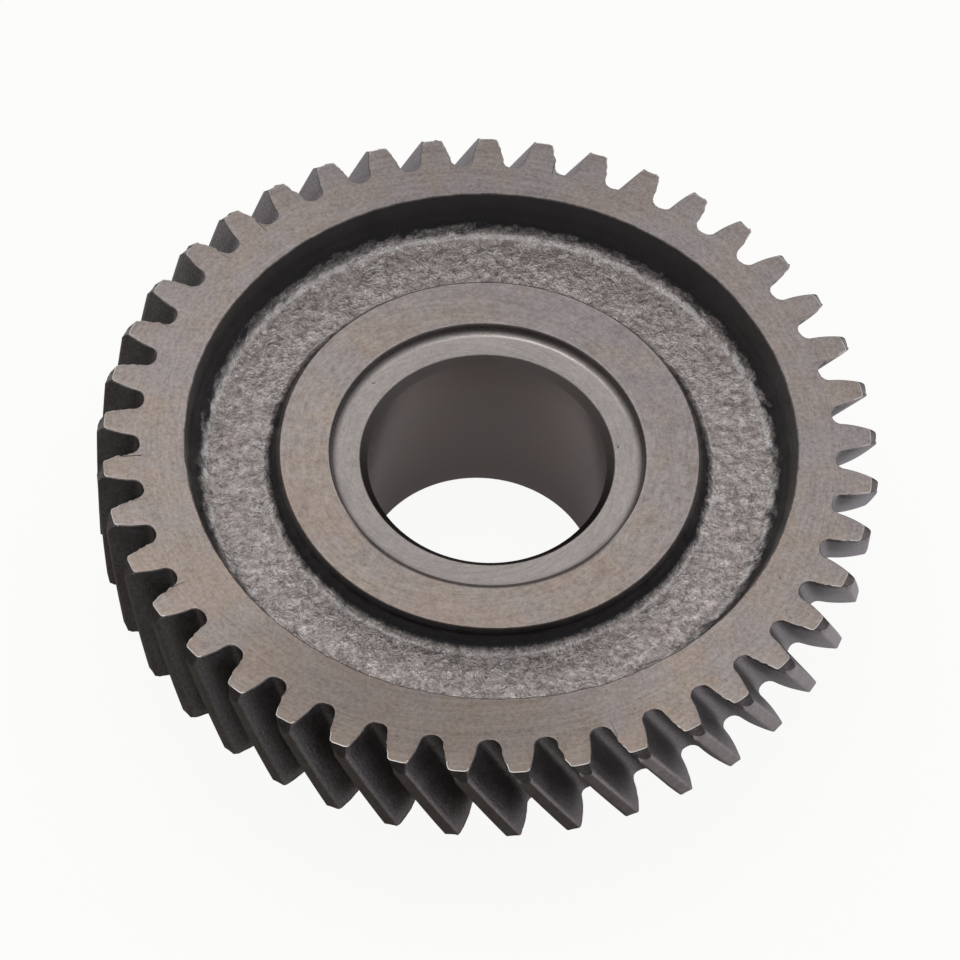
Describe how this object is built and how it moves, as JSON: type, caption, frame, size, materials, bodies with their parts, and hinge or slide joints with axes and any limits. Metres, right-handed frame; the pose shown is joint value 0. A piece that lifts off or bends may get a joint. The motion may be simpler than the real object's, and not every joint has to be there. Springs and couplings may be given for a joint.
{
  "type": "helical gear",
  "caption": "Loose helical transmission gear with a recessed web, a long hub and a plain through bore, forged in one piece.",
  "frame": {"origin": "centre of the hub's back face, on the gear's axis, which is the bottom centre of the bounding box", "axes": "+Z along the gear's axis towards the recessed front, +X through the middle of a tooth where the teeth meet the rim's front face"},
  "size_m": [0.169, 0.169, 0.0543],
  "materials": {
    "steel": "machined faces and teeth, satin; forged web and recess, rough; light brown oxide tint"
  },
  "bodies": {
    "root": {"helical_gear": "steel"}
  },
  "joints": []
}
